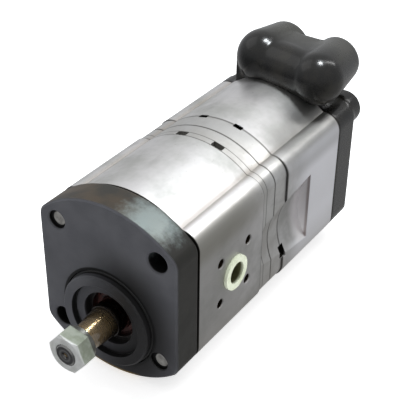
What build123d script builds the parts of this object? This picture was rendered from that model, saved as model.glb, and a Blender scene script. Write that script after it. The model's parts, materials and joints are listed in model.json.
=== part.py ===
from build123d import *
import os
from math import acos, atan2, cos, degrees, pi, radians, sin, sqrt, tan

# Tandem gear pump, in millimetres.  The origin is on the drive shaft axis, in the
# mounting face.  The shaft points to -Y, the pump reaches back along +Y, +Z is up and
# +X is the side with the small port.

# Outline of the housing
gear_centres = 33.4
bolt_square = 60.0
bolt_edge = 11.0
arch_radius = 47.5
arch_rise = 19.0
corner_radius = 9.5
corner_setback = 1.2
plate_inset = 0.8
cover_arch_flare = 28.0
cover_arch_rise = 19.6
cover_corner_radius = 8.0
cover_rim_chamfer = 1.0
cover_rim_fillet = 2.5

# Lengths along the shaft
cover_length = 18.4
front_body_length = 57.4
spacer_length = 4.0
front_plate_length = 7.9
rear_plate_length = 11.9
rear_body_length = 56.1
rear_cover_length = 18.5

# Bolts and pins
bolt_hole_radius = 5.5
bolt_radius = 5.0
bolt_end_recess = 1.5
hole_chamfer = 0.6
washer_radius = 9.0
washer_thickness = 1.6
head_flats = 16.0
head_height = 6.4
head_seat_radius = 10.0
ear_radius = 10.0
ear_height = 9.6
pin_radius = 2.5
pin_depth = 4.0
pin_x = 22.0
pin_rise = 37.3

# Mounting pilot and shaft seal
pilot_radius = 26.0
pilot_height = 4.0
pilot_chamfer = 0.8
pilot_recess_radius = 20.6
pilot_recess_depth = 3.2
o_ring_section = 2.2
o_ring_groove_width = 1.2
o_ring_undercut = 1.2
seal_bore_radius = 15.0
seal_bore_depth = 12.6
seal_length = 7.0
seal_lip_radius_step = 2.6
circlip_thickness = 1.2
circlip_depth = 1.3
circlip_width = 3.0
circlip_opening = 7.0
circlip_turn = 45.0

# Shaft
journal_radius = 9.0
taper_large_radius = 8.5
taper_length = 18.0
taper_end = 3.4
taper_ratio = 0.1
thread_radius = 6.0
thread_length = 12.1
centre_hole_radius = 1.8
key_width = 3.0
key_radius = 6.5
key_height = 5.0
key_stand = 1.2
key_angle = 225.0
lock_washer_radius = 9.2
lock_washer_thickness = 2.6
nut_flats = 19.0
nut_length = 8.9
nut_turn = 51.0
nut_face_inset = 0.3
nut_turning_slope = 0.6
nut_turning_overrun = 0.2

# Gears and bearings
teeth = 12
pressure_angle = 25.0
backlash = 0.12
root_clearance = 0.22
front_gear_length = 20.0
rear_gear_length = 16.0
front_bearing_length = 21.4
rear_bearing_length = 20.4
gear_side_clearance = 0.05
tip_clearance = 0.06
bearing_fit = 0.03
bush_wall = 1.5
relief_width = 8.0
relief_height = 5.0
relief_depth = 1.2
relief_x = 6.0
balance_seal_radius = 15.0
balance_seal_width = 2.0
balance_seal_depth = 1.8
face_seal_radius = 21.6
face_seal_width = 2.0
face_seal_depth = 1.5

# Coupling between the two pumps
spline_teeth = 10
spline_minor_radius = 6.2
spline_tooth_height = 1.1
spline_tooth_width = 2.2
spline_clearance = 0.05
spline_length = 10.6
spline_gap = 0.1
coupling_radius = 11.0
coupling_end_gap = 1.2
coupling_clearance = 0.6
coupling_seal_radius = 14.0

# Ports
port_depth_behind_cover = 31.2
port_drop = 1.3
outlet_radius = 7.5
outlet_screw_circle = 35.0
inlet_radius = 10.0
inlet_screw_circle = 40.0
port_screw_radius = 2.5
port_screw_depth = 13.0
port_screw_chamfer = 0.5
port_reach = 8.0
plug_flange = 2.0
plug_flange_thickness = 1.6
plug_depth = 9.0
plug_wall = 1.5
plug_clearance = 0.05

# Waist and pad on the side of the plates and the rear body
waist_radius = 34.0
waist_front_depth = 2.7
waist_rear_depth = 7.0
waist_drop = 3.7
waist_length = 49.4
spacer_notches = (-10.8, 11.2)
plate_notches = (-12.0, 9.5)
spacer_notch_width = 6.6
plate_notch_width = 5.2
notch_depth = 3.0
notch_half_length = 1.6
slot_height = 7.0
slot_drop = 19.7
slot_depth = 4.0
slot_half_length = 2.5

# Rear cover with its two port bosses
boss_rise = 8.3
left_dome_x = -14.0
left_dome_depth = 7.5
left_dome_radius = 15.4
left_port_x = -9.8
left_port_wall = 4.9
right_dome_x = 25.0
right_dome_depth = 0.7
right_dome_radius = 14.8
right_port_x = 22.4
right_port_wall = 4.0
boss_length = 29.5
boss_rim_fillet = 2.0
web_rise = 8.0
web_inset = 2.3
web_round = 9.0
web_setback = 5.0
neck_left_x = -28.2
neck_right_x = 24.0
neck_drop = 30.0
neck_setback = 2.0
body_gap = 0.6
rear_port_radius = 9.3
rear_port_depth = 16.0
port_core_radius = 6.5
port_core_depth = 12.2
passage_radius = 3.5
passage_x = 22.4
passage_depth = 5.3
riser_offset = 2.2
channel_width = 5.0

# Sizes that follow from those above
width = bolt_square + 2 * bolt_edge
side = width / 2
mid_z = gear_centres / 2
corner_rise = bolt_square / 2 - corner_setback
arch_height = bolt_square / 2 + arch_rise
cover_arch_height = bolt_square / 2 + cover_arch_rise
cover_arch_radius = bolt_square / 2 + cover_arch_flare
port_z = mid_z - port_drop
waist_z = mid_z - waist_drop
slot_z = mid_z - slot_drop
cover_back = cover_length
front_body_back = cover_back + front_body_length
spacer_back = front_body_back + spacer_length
front_plate_back = spacer_back + front_plate_length
rear_plate_back = front_plate_back + rear_plate_length
rear_body_back = rear_plate_back + rear_body_length
rear_cover_back = rear_body_back + rear_cover_length
port_y = cover_back + port_depth_behind_cover
pad_y = front_body_back + waist_length
boss_face_y = rear_body_back + boss_length
left_dome_y = rear_body_back + left_dome_depth
right_dome_y = rear_body_back + right_dome_depth
web_front = rear_body_back + web_inset
boss_z = mid_z + arch_height + boss_rise
web_height = boss_z + web_rise
neck_bottom = boss_z - neck_drop
neck_top = boss_z - neck_setback
tie_corners = [(-bolt_square / 2, mid_z + bolt_square / 2), (bolt_square / 2, mid_z - bolt_square / 2)]
mount_corners = [(bolt_square / 2, mid_z + bolt_square / 2), (-bolt_square / 2, mid_z - bolt_square / 2)]
pin_places = [(-pin_x, mid_z + pin_rise), (pin_x, mid_z - pin_rise)]
module = gear_centres / teeth
pitch_radius = gear_centres / 2
tip_radius = pitch_radius + module
root_radius = pitch_radius - (1 + root_clearance) * module
base_radius = pitch_radius * cos(radians(pressure_angle))
gear_bore_radius = tip_radius + tip_clearance
front_gear_front = cover_back + front_bearing_length + gear_side_clearance
front_gear_back = front_gear_front + front_gear_length
rear_gear_front = rear_plate_back + rear_bearing_length + gear_side_clearance
rear_gear_back = rear_gear_front + rear_gear_length
bush_bore_radius = journal_radius + bearing_fit
bush_radius = bush_bore_radius + bush_wall
coupling_bore_radius = coupling_radius + coupling_clearance
recess_floor = pilot_recess_depth - pilot_height
taper_back = -taper_end
taper_front = taper_back - taper_length
taper_small_radius = taper_large_radius - taper_ratio * taper_length
shaft_front = taper_front - thread_length
nut_back = taper_front - lock_washer_thickness
os.makedirs("parts", exist_ok=True)


def across(y):
    """The plane across the shaft at a distance y behind the mounting face."""
    return Plane.XZ.offset(-y)


def along(x, z):
    """A plane through a line parallel to the shaft, drawn with its own x along +Y."""
    return Plane(origin=(x, 0, z), x_dir=(0, 1, 0), z_dir=(1, 0, 0))


def housing_profile(y, half_width):
    """Outline of the bodies and plates: two arches, flat sides and a boss at each corner."""
    with BuildSketch(across(y)) as profile:
        with Locations((0, mid_z)):
            with GridLocations(0, 2 * (arch_height - arch_radius), 1, 2):
                Circle(arch_radius)
            Rectangle(2 * half_width, 2 * arch_height, mode=Mode.INTERSECT)
            Rectangle(2 * half_width, 2 * corner_rise)
            with GridLocations(2 * (half_width - corner_radius), 2 * corner_rise, 2, 2):
                Circle(corner_radius)
    return profile.sketch


def cover_profile(y):
    """Outline of the front cover: two flatter arches and four rounded corners."""
    with BuildSketch(across(y)) as profile:
        with Locations((0, mid_z - cover_arch_height + cover_arch_radius)):
            Circle(cover_arch_radius)
        with Locations((0, mid_z + cover_arch_height - cover_arch_radius)):
            Circle(cover_arch_radius, mode=Mode.INTERSECT)
        with Locations((0, mid_z)):
            Rectangle(width, 2 * cover_arch_height, mode=Mode.INTERSECT)
        fillet(profile.vertices(), cover_corner_radius)
    return profile.sketch


def discs(y, places, radius):
    """Equal circles across the shaft, for bolts, pins and bores."""
    with BuildSketch(across(y)) as profile:
        with Locations(*places):
            Circle(radius)
    return profile.sketch


def twin_profile(y, radius):
    """Two circles joined into a figure of eight about both gear axes."""
    return discs(y, [(0, 0), (0, gear_centres)], radius)


def twin_ring(y, radius, ring_width):
    """A band that follows the figure of eight, for seals and their grooves."""
    with BuildSketch(across(y)) as profile:
        with Locations((0, 0), (0, gear_centres)):
            Circle(radius + ring_width)
        with Locations((0, 0), (0, gear_centres)):
            Circle(radius, mode=Mode.SUBTRACT)
    return profile.sketch


def gear_profile(y, z, first_tooth):
    """Involute gear outline about the axis at height z."""
    involute = tan(radians(pressure_angle)) - radians(pressure_angle)
    pitch_half_angle = pi / (2 * teeth) - backlash / (4 * pitch_radius)
    base_half_angle = pitch_half_angle + involute

    def point(radius, angle):
        return (radius * cos(angle), z + radius * sin(angle))

    def half_angle(radius):
        roll = acos(base_radius / radius)
        return base_half_angle - tan(roll) + roll

    steps = 4
    radii = [base_radius + (tip_radius - base_radius) * i / steps for i in range(steps + 1)]
    with BuildSketch(across(y)) as profile:
        with BuildLine():
            for tooth in range(teeth):
                middle = radians(first_tooth) + 2 * pi * tooth / teeth
                following = middle + 2 * pi / teeth
                rising = [point(r, middle - half_angle(r)) for r in radii]
                falling = [point(r, middle + half_angle(r)) for r in reversed(radii)]
                Line(point(root_radius, middle - base_half_angle), rising[0])
                Spline(*rising)
                ThreePointArc(rising[-1], point(tip_radius, middle), falling[0])
                Spline(*falling)
                Line(falling[-1], point(root_radius, middle + base_half_angle))
                ThreePointArc(
                    point(root_radius, middle + base_half_angle),
                    point(root_radius, (middle + following) / 2),
                    point(root_radius, following - base_half_angle),
                )
        make_face()
    return profile.sketch


def spline_profile(y, growth):
    """Straight-sided spline about the drive axis, larger all round by growth."""
    with BuildSketch(across(y)) as profile:
        Circle(spline_minor_radius + growth)
        with PolarLocations(spline_minor_radius, spline_teeth):
            Rectangle(2 * (spline_tooth_height + growth), spline_tooth_width + 2 * growth)
    return profile.sketch


def drill_corners(back, length):
    """The four bolt holes through a body or plate, inside the block that calls it."""
    extrude(discs(back, tie_corners + mount_corners, bolt_hole_radius), amount=length, mode=Mode.SUBTRACT)


def pin_holes(back, length):
    """Two dowel pin holes, inside the block that calls it."""
    extrude(discs(back, pin_places, pin_radius), amount=length, mode=Mode.SUBTRACT)


def top_notches(back, length, places, notch_width):
    """Two small open notches in the crown of a rim, inside the block that calls it."""
    crown = mid_z + arch_height
    with BuildSketch(across(back)) as notches:
        for x in places:
            sag = arch_radius - sqrt(arch_radius**2 - x**2)
            with Locations((x, crown)):
                Rectangle(notch_width, 2 * (notch_depth + sag))
    extrude(notches.sketch, amount=length, mode=Mode.SUBTRACT)


def side_slot(back, length):
    """The small slot at the lower end of the waist, inside the block that calls it."""
    with BuildSketch(across(back)) as slot:
        with Locations((side, slot_z)):
            Rectangle(2 * slot_depth, slot_height)
    extrude(slot.sketch, amount=length, mode=Mode.SUBTRACT)


def screw_places(circle):
    """Four screws on a circle round a side port, as (y, z)."""
    reach = circle / 2 * cos(radians(45))
    return [(port_y + i * reach, port_z + j * reach) for i in (-1, 1) for j in (-1, 1)]


def side_port(direction, radius, circle):
    """A port with its four screw holes in one side, inside the block that calls it."""
    face = Plane(origin=(direction * side, 0, 0), x_dir=(0, direction, 0), z_dir=(direction, 0, 0))
    with BuildSketch(face) as bore:
        with Locations((direction * port_y, port_z)):
            Circle(radius)
    extrude(bore.sketch, amount=-(side - port_reach), mode=Mode.SUBTRACT)
    with BuildSketch(face) as screws:
        with Locations(*[(direction * y, z) for y, z in screw_places(circle)]):
            Circle(port_screw_radius)
    extrude(screws.sketch, amount=-port_screw_depth, mode=Mode.SUBTRACT)
    with BuildSketch(face) as mouths:
        with Locations(*[(direction * y, z) for y, z in screw_places(circle)]):
            Circle(port_screw_radius + port_screw_chamfer)
    extrude(mouths.sketch, amount=-port_screw_chamfer, taper=45, mode=Mode.SUBTRACT)


def bearing_block(back, length, seal_side_back, name):
    """A bearing block: figure of eight, two bush bores, a seal groove and reliefs."""
    seal_plane = back if seal_side_back else back - length + balance_seal_depth
    relief_plane = back - length + relief_depth if seal_side_back else back
    with BuildPart() as block:
        extrude(twin_profile(back, gear_bore_radius - bearing_fit), amount=length)
        extrude(twin_profile(back, bush_radius), amount=length, mode=Mode.SUBTRACT)
        groove = twin_ring(seal_plane, balance_seal_radius, balance_seal_width)
        extrude(groove, amount=balance_seal_depth, mode=Mode.SUBTRACT)
        with BuildSketch(across(relief_plane)) as reliefs:
            with Locations((-relief_x, mid_z), (relief_x, mid_z)):
                Rectangle(relief_width, relief_height)
        extrude(reliefs.sketch, amount=relief_depth, mode=Mode.SUBTRACT)
    block.part.label = name
    export_step(block.part, "parts/" + name + ".step")
    with BuildPart() as seal:
        extrude(twin_ring(seal_plane, balance_seal_radius, balance_seal_width), amount=balance_seal_depth)
    seal.part.label = name + "_seal"
    export_step(seal.part, "parts/" + name + "_seal.step")
    for label, z in (("lower", 0), ("upper", gear_centres)):
        with BuildPart() as bush:
            extrude(discs(back, [(0, z)], bush_radius), amount=length)
            extrude(discs(back, [(0, z)], bush_bore_radius), amount=length, mode=Mode.SUBTRACT)
        bush.part.label = name + "_bush_" + label
        export_step(bush.part, "parts/" + name + "_bush_" + label + ".step")


def turned(points, x, z, piece_plane):
    """Revolves a closed outline of (along, radius) points about a line along Y."""
    with BuildSketch(piece_plane) as profile:
        with BuildLine():
            Polyline(*points, close=True)
        make_face()
    revolve(profile.sketch, axis=Axis((x, 0, z), (0, 1, 0)))


# The waist is a shallow trough, deeper towards the rear, that stops at the pad
waist_axis_front = side - waist_front_depth + waist_radius
waist_axis_rear = side - waist_rear_depth + waist_radius
with BuildPart() as waist:
    with BuildSketch(
        Plane(
            origin=(waist_axis_front, front_body_back, waist_z),
            z_dir=(waist_axis_rear - waist_axis_front, pad_y - front_body_back, 0),
        )
    ):
        Circle(waist_radius)
    extrude(amount=pad_y - front_body_back + waist_radius)
    split(bisect_by=across(pad_y), keep=Keep.TOP)

# Front cover with the mounting pilot
with BuildPart() as front_cover:
    extrude(cover_profile(cover_back), amount=cover_length)
    fillet(front_cover.faces().sort_by(Axis.Y)[-1].edges(), cover_rim_fillet)
    chamfer(front_cover.faces().sort_by(Axis.Y)[0].edges(), cover_rim_chamfer)
    extrude(discs(cover_back, tie_corners, bolt_radius), amount=cover_length, mode=Mode.SUBTRACT)
    extrude(discs(cover_back, mount_corners, bolt_hole_radius), amount=cover_length, mode=Mode.SUBTRACT)
    mouths = (
        front_cover.faces().filter_by(Axis.Y).filter_by(lambda f: abs(f.center().Y) < 0.01).edges()
        .filter_by(GeomType.CIRCLE).filter_by(lambda e: e.radius < bolt_hole_radius + 0.1)
    )
    chamfer(mouths, hole_chamfer)
    extrude(discs(0, [(0, 0)], pilot_radius), amount=pilot_height)
    chamfer(front_cover.faces().sort_by(Axis.Y)[0].edges(), pilot_chamfer)
    extrude(discs(recess_floor, [(0, 0)], pilot_recess_radius), amount=pilot_recess_depth, mode=Mode.SUBTRACT)
    extrude(
        discs(seal_bore_depth + recess_floor, [(0, 0)], seal_bore_radius),
        amount=seal_bore_depth,
        mode=Mode.SUBTRACT,
    )
    extrude(discs(cover_back, [(0, 0)], bush_radius), amount=cover_length, mode=Mode.SUBTRACT)
    circlip_back = seal_bore_depth + recess_floor - seal_length - bearing_fit
    extrude(
        discs(circlip_back, [(0, 0)], seal_bore_radius + circlip_depth),
        amount=circlip_thickness,
        mode=Mode.SUBTRACT,
    )
    with BuildSketch(across(o_ring_section)) as o_ring_groove:
        Circle(pilot_radius + o_ring_groove_width)
        Circle(pilot_radius - o_ring_undercut, mode=Mode.SUBTRACT)
    extrude(o_ring_groove.sketch, amount=o_ring_section, mode=Mode.SUBTRACT)
    pin_holes(cover_back, pin_depth)
front_cover.part.label = "front_cover"
export_step(front_cover.part, "parts/front_cover.step")

with BuildPart() as pilot_o_ring:
    with BuildSketch(along(0, 0)):
        with Locations((o_ring_section / 2, pilot_radius + (o_ring_groove_width - o_ring_undercut) / 2)):
            Circle(o_ring_section / 2)
    revolve(axis=Axis.Y)
pilot_o_ring.part.label = "pilot_o_ring"
export_step(pilot_o_ring.part, "parts/pilot_o_ring.step")

# Radial shaft seal: an outer sleeve, a web at the back and a lip on the shaft
seal_back = seal_bore_depth + recess_floor
seal_front = seal_back - seal_length
seal_lip = journal_radius + bearing_fit
with BuildPart() as shaft_seal:
    turned(
        [
            (seal_front, seal_bore_radius - 1.2),
            (seal_front, seal_bore_radius),
            (seal_back, seal_bore_radius),
            (seal_back, seal_lip + seal_lip_radius_step),
            (seal_back - 1.2, seal_lip + 0.6),
            (seal_back - seal_length / 2, seal_lip),
            (seal_front + 1.0, seal_lip + 0.4),
            (seal_front + 1.0, seal_lip + seal_lip_radius_step),
            (seal_front + 2.6, seal_lip + seal_lip_radius_step + 0.4),
            (seal_front + 2.6, seal_bore_radius - 1.2),
        ],
        0,
        0,
        along(0, 0),
    )
shaft_seal.part.label = "shaft_seal"
export_step(shaft_seal.part, "parts/shaft_seal.step")

# Retaining ring for the shaft seal, open at the upper right with an eye at each end
ring_outer = seal_bore_radius + circlip_depth
ring_inner = ring_outer - circlip_width
eye_radius = circlip_width / 2 + 0.4
eye_spread = degrees((circlip_opening / 2 + eye_radius) / ring_inner)
with BuildPart() as seal_circlip:
    with BuildSketch(across(circlip_back)):
        Circle(ring_outer)
        Circle(ring_inner, mode=Mode.SUBTRACT)
        with PolarLocations((ring_outer + ring_inner) / 2, 1, start_angle=circlip_turn):
            Rectangle(2 * circlip_width, circlip_opening, mode=Mode.SUBTRACT)
        with PolarLocations(ring_inner, 2, circlip_turn - eye_spread, 4 * eye_spread):
            Circle(eye_radius)
            Circle(eye_radius / 2, mode=Mode.SUBTRACT)
    extrude(amount=circlip_thickness)
seal_circlip.part.label = "seal_circlip"
export_step(seal_circlip.part, "parts/seal_circlip.step")

# Front body with its gear chamber and the two side ports
with BuildPart() as front_body:
    extrude(housing_profile(front_body_back, side), amount=front_body_length)
    extrude(twin_profile(front_body_back, gear_bore_radius), amount=front_body_length, mode=Mode.SUBTRACT)
    drill_corners(front_body_back, front_body_length)
    side_port(1, outlet_radius, outlet_screw_circle)
    side_port(-1, inlet_radius, inlet_screw_circle)
    for back in (cover_back + face_seal_depth, front_body_back):
        extrude(twin_ring(back, face_seal_radius, face_seal_width), amount=face_seal_depth, mode=Mode.SUBTRACT)
    pin_holes(cover_back + pin_depth, pin_depth)
    pin_holes(front_body_back, pin_depth)
front_body.part.label = "front_body"
export_step(front_body.part, "parts/front_body.step")

# Thin spacer between the front body and the plates
with BuildPart() as spacer:
    extrude(housing_profile(spacer_back, side - plate_inset), amount=spacer_length)
    extrude(discs(spacer_back, [(0, 0)], coupling_bore_radius), amount=spacer_length, mode=Mode.SUBTRACT)
    drill_corners(spacer_back, spacer_length)
    pin_holes(spacer_back, spacer_length)
    top_notches(spacer_back, spacer_length, spacer_notches, spacer_notch_width)
    add(waist.part, mode=Mode.SUBTRACT)
spacer.part.label = "spacer"
export_step(spacer.part, "parts/spacer.step")

# Front and rear plates between the two pumps
with BuildPart() as front_plate:
    extrude(housing_profile(front_plate_back, side - plate_inset), amount=front_plate_length)
    extrude(discs(front_plate_back, [(0, 0)], coupling_bore_radius), amount=front_plate_length, mode=Mode.SUBTRACT)
    drill_corners(front_plate_back, front_plate_length)
    pin_holes(front_plate_back, front_plate_length)
    add(waist.part, mode=Mode.SUBTRACT)
front_plate.part.label = "front_plate"
export_step(front_plate.part, "parts/front_plate.step")

with BuildPart() as rear_plate:
    extrude(housing_profile(rear_plate_back, side - plate_inset), amount=rear_plate_length)
    extrude(discs(rear_plate_back, [(0, 0)], coupling_bore_radius), amount=rear_plate_length, mode=Mode.SUBTRACT)
    with BuildSketch(across(front_plate_back + face_seal_depth)) as seal_seat:
        Circle(coupling_seal_radius + face_seal_width)
        Circle(coupling_seal_radius, mode=Mode.SUBTRACT)
    extrude(seal_seat.sketch, amount=face_seal_depth, mode=Mode.SUBTRACT)
    drill_corners(rear_plate_back, rear_plate_length)
    pin_holes(front_plate_back + pin_depth, pin_depth)
    pin_holes(rear_plate_back, pin_depth)
    top_notches(rear_plate_back, notch_half_length, plate_notches, plate_notch_width)
    side_slot(rear_plate_back, slot_half_length)
    add(waist.part, mode=Mode.SUBTRACT)
rear_plate.part.label = "rear_plate"
export_step(rear_plate.part, "parts/rear_plate.step")

with BuildPart() as coupling_seal:
    with BuildSketch(across(front_plate_back + face_seal_depth)):
        Circle(coupling_seal_radius + face_seal_width)
        Circle(coupling_seal_radius, mode=Mode.SUBTRACT)
    extrude(amount=face_seal_depth)
coupling_seal.part.label = "coupling_seal"
export_step(coupling_seal.part, "parts/coupling_seal.step")

# Rear body: waist at the front, flat pad at the rear, two passages to its gears
rear_gear_middle = (rear_gear_front + rear_gear_back) / 2
with BuildPart() as rear_body:
    extrude(housing_profile(rear_body_back, side), amount=rear_body_length)
    extrude(twin_profile(rear_body_back, gear_bore_radius), amount=rear_body_length, mode=Mode.SUBTRACT)
    drill_corners(rear_body_back, rear_body_length)
    for back in (rear_plate_back + face_seal_depth, rear_body_back):
        extrude(twin_ring(back, face_seal_radius, face_seal_width), amount=face_seal_depth, mode=Mode.SUBTRACT)
    pin_holes(rear_plate_back + pin_depth, pin_depth)
    pin_holes(rear_body_back, pin_depth)
    top_notches(rear_plate_back + notch_half_length, notch_half_length, plate_notches, plate_notch_width)
    side_slot(rear_plate_back + slot_half_length, slot_half_length)
    add(waist.part, mode=Mode.SUBTRACT)
    extrude(
        discs(rear_body_back, [(-passage_x, mid_z), (passage_x, mid_z)], passage_radius),
        amount=rear_body_back - rear_gear_middle,
        mode=Mode.SUBTRACT,
    )
    with BuildSketch(Plane(origin=(-passage_x, 0, 0), x_dir=(0, -1, 0), z_dir=(-1, 0, 0))) as cross_drill:
        with Locations((-rear_gear_middle, mid_z)):
            Circle(passage_radius)
    extrude(cross_drill.sketch, amount=-2 * passage_x, mode=Mode.SUBTRACT)
rear_body.part.label = "rear_body"
export_step(rear_body.part, "parts/rear_body.step")

# Face seals in the grooves of the two bodies
face_seal_places = {
    "front_cover_seal": cover_back + face_seal_depth,
    "spacer_seal": front_body_back,
    "rear_plate_seal": rear_plate_back + face_seal_depth,
    "rear_cover_seal": rear_body_back,
}
for name, back in face_seal_places.items():
    with BuildPart() as face_seal:
        extrude(twin_ring(back, face_seal_radius, face_seal_width), amount=face_seal_depth)
    face_seal.part.label = name
    export_step(face_seal.part, "parts/" + name + ".step")

# Rear cover: a plate like the bodies, two ears and a pair of domed port bosses
bosses = [
    (left_dome_x, left_dome_y, left_dome_radius, left_port_x, left_port_wall),
    (right_dome_x, right_dome_y, right_dome_radius, right_port_x, right_port_wall),
]
passage_y = rear_body_back + passage_depth
risers = [(-passage_x, left_port_x - riser_offset), (passage_x, right_port_x - riser_offset)]
head_seat_y = rear_cover_back - washer_thickness - head_height
ear_back = rear_cover_back + ear_height
web_back = boss_face_y - web_setback
with BuildPart() as rear_cover:
    extrude(housing_profile(rear_cover_back, side), amount=rear_cover_length)
    for dome_x, dome_y, dome, port_x, wall in bosses:
        run = (port_x - dome_x, boss_face_y - dome_y, 0)
        reach = boss_face_y - dome_y
        face = rear_port_radius + wall
        with BuildSketch(Plane(origin=(dome_x, dome_y, boss_z), x_dir=run, z_dir=(run[1], -run[0], 0))) as boss:
            with BuildLine():
                ThreePointArc((-dome, 0), (-dome * cos(radians(45)), dome * sin(radians(45))), (0, dome))
                Line((0, dome), (reach, face))
                Line((reach, face), (reach + dome, face))
                Line((reach + dome, face), (reach + dome, 0))
                Line((reach + dome, 0), (-dome, 0))
            make_face()
        revolve(boss.sketch, axis=Axis((dome_x, dome_y, boss_z), run))
    split(bisect_by=across(boss_face_y), keep=Keep.TOP)
    with BuildSketch(along(left_port_x, 0)) as web:
        with BuildLine():
            Polyline(
                (web_front, neck_bottom),
                (web_back, neck_bottom),
                (web_back, web_height),
                (web_front, web_height),
                close=True,
            )
        make_face()
        fillet(web.vertices().group_by(Axis.Y)[-1].sort_by(Axis.X)[0], web_round)
    extrude(web.sketch, amount=right_port_x - left_port_x)
    rims = rear_cover.faces().filter_by(Axis.Y).filter_by(lambda f: f.center().Y > boss_face_y - 0.01).edges()
    fillet(rims, boss_rim_fillet)
    with BuildSketch(across(web_back)) as neck:
        with Locations((neck_left_x, neck_bottom)):
            Rectangle(neck_right_x - neck_left_x, neck_top - neck_bottom, align=(Align.MIN, Align.MIN))
    extrude(neck.sketch, amount=web_back - rear_body_back)
    extrude(discs(ear_back, mount_corners, ear_radius), amount=ear_height)
    with BuildSketch(across(rear_body_back)) as body_clearance:
        with Locations((0, mid_z)):
            Rectangle(2 * width, 2 * corner_rise)
        with Locations((0, mid_z + arch_height - arch_radius)):
            Circle(arch_radius + body_gap)
    extrude(body_clearance.sketch, amount=rear_body_length / 2, mode=Mode.SUBTRACT)
    extrude(
        discs(ear_back, tie_corners, head_seat_radius),
        amount=ear_back - head_seat_y,
        mode=Mode.SUBTRACT,
    )
    extrude(
        discs(ear_back, tie_corners + mount_corners, bolt_hole_radius),
        amount=ear_back - rear_body_back,
        mode=Mode.SUBTRACT,
    )
    ports = [(left_port_x, boss_z), (right_port_x, boss_z)]
    extrude(discs(boss_face_y, ports, rear_port_radius), amount=rear_port_depth, mode=Mode.SUBTRACT)
    core_back = boss_face_y - rear_port_depth
    extrude(discs(core_back, ports, port_core_radius), amount=port_core_depth, mode=Mode.SUBTRACT)
    extrude(
        discs(passage_y, [(-passage_x, mid_z), (passage_x, mid_z)], passage_radius),
        amount=passage_depth,
        mode=Mode.SUBTRACT,
    )
    with BuildSketch(Plane.XY.offset(mid_z - channel_width / 2)) as channels:
        for outer, inner in risers:
            with Locations(((outer + inner) / 2, passage_y)):
                Rectangle(abs(outer - inner), channel_width)
    extrude(channels.sketch, amount=channel_width, mode=Mode.SUBTRACT)
    with Locations(*[(inner, passage_y, mid_z - passage_radius) for outer, inner in risers]):
        Cylinder(
            passage_radius,
            boss_z - mid_z + passage_radius,
            align=(Align.CENTER, Align.CENTER, Align.MIN),
            mode=Mode.SUBTRACT,
        )
    pin_holes(rear_body_back + pin_depth, pin_depth)
rear_cover.part.label = "rear_cover"
export_step(rear_cover.part, "parts/rear_cover.step")

# Bearing blocks with their bushes and balance seals, two pairs
bearing_block(cover_back + front_bearing_length, front_bearing_length, False, "front_block_a")
front_block_b_length = front_body_back - front_gear_back - gear_side_clearance
bearing_block(front_body_back, front_block_b_length, True, "front_block_b")
bearing_block(rear_plate_back + rear_bearing_length, rear_bearing_length, False, "rear_block_a")
rear_block_b_length = rear_body_back - rear_gear_back - gear_side_clearance
bearing_block(rear_body_back, rear_block_b_length, True, "rear_block_b")

# Drive shaft of the front pump, cut in one piece with its gear
drive_spline_front = front_body_back + spline_gap
drive_spline_back = drive_spline_front + spline_length
with BuildPart() as drive_shaft:
    turned(
        [
            (shaft_front + 2 * centre_hole_radius, 0),
            (shaft_front, centre_hole_radius),
            (shaft_front, thread_radius - 1),
            (shaft_front + 1, thread_radius),
            (taper_front, thread_radius),
            (taper_front, taper_small_radius),
            (taper_back, taper_large_radius),
            (taper_back, journal_radius - 0.2),
            (taper_back + 1, journal_radius),
            (front_body_back, journal_radius),
            (front_body_back, spline_minor_radius),
            (drive_spline_back, spline_minor_radius),
            (drive_spline_back, 0),
        ],
        0,
        0,
        along(0, 0),
    )
    extrude(gear_profile(front_gear_back, 0, 90), amount=front_gear_length)
    extrude(spline_profile(drive_spline_back, 0), amount=spline_length)
    key_middle = (taper_front + taper_back) / 2
    key_top = (taper_small_radius + taper_large_radius) / 2 + key_stand
    key_plane = Plane(
        origin=(0, 0, 0),
        x_dir=(0, 1, 0),
        z_dir=(-sin(radians(key_angle)), 0, cos(radians(key_angle))),
    )
    key_side = 1 if key_plane.y_dir.dot(Vector(cos(radians(key_angle)), 0, sin(radians(key_angle)))) > 0 else -1
    with BuildSketch(key_plane) as keyway:
        with Locations((key_middle, key_side * (key_top - key_height + key_radius))):
            Circle(key_radius)
    extrude(keyway.sketch, amount=key_width / 2, both=True, mode=Mode.SUBTRACT)
drive_shaft.part.label = "drive_shaft"
export_step(drive_shaft.part, "parts/drive_shaft.step")

with BuildPart() as shaft_key:
    with BuildSketch(key_plane):
        with Locations((key_middle, key_side * (key_top - key_height + key_radius))):
            Circle(key_radius)
        with Locations((key_middle, key_side * key_top)):
            Rectangle(
                4 * key_radius,
                2 * key_height,
                align=(Align.CENTER, Align.MAX if key_side > 0 else Align.MIN),
                mode=Mode.INTERSECT,
            )
    extrude(amount=key_width / 2, both=True)
shaft_key.part.label = "shaft_key"
export_step(shaft_key.part, "parts/shaft_key.step")

with BuildPart() as lock_washer:
    extrude(discs(taper_front, [(0, 0)], lock_washer_radius), amount=lock_washer_thickness)
    extrude(discs(taper_front, [(0, 0)], thread_radius), amount=lock_washer_thickness, mode=Mode.SUBTRACT)
lock_washer.part.label = "lock_washer"
export_step(lock_washer.part, "parts/lock_washer.step")


def hexagon_solid(back, length, flats, place, turn):
    """A hexagon with its front corners turned off, inside the block that calls it."""
    with BuildSketch(across(back)) as hexagon:
        with Locations(place):
            RegularPolygon(flats / 2, 6, major_radius=False, rotation=turn)
    extrude(hexagon.sketch, amount=length)


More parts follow.
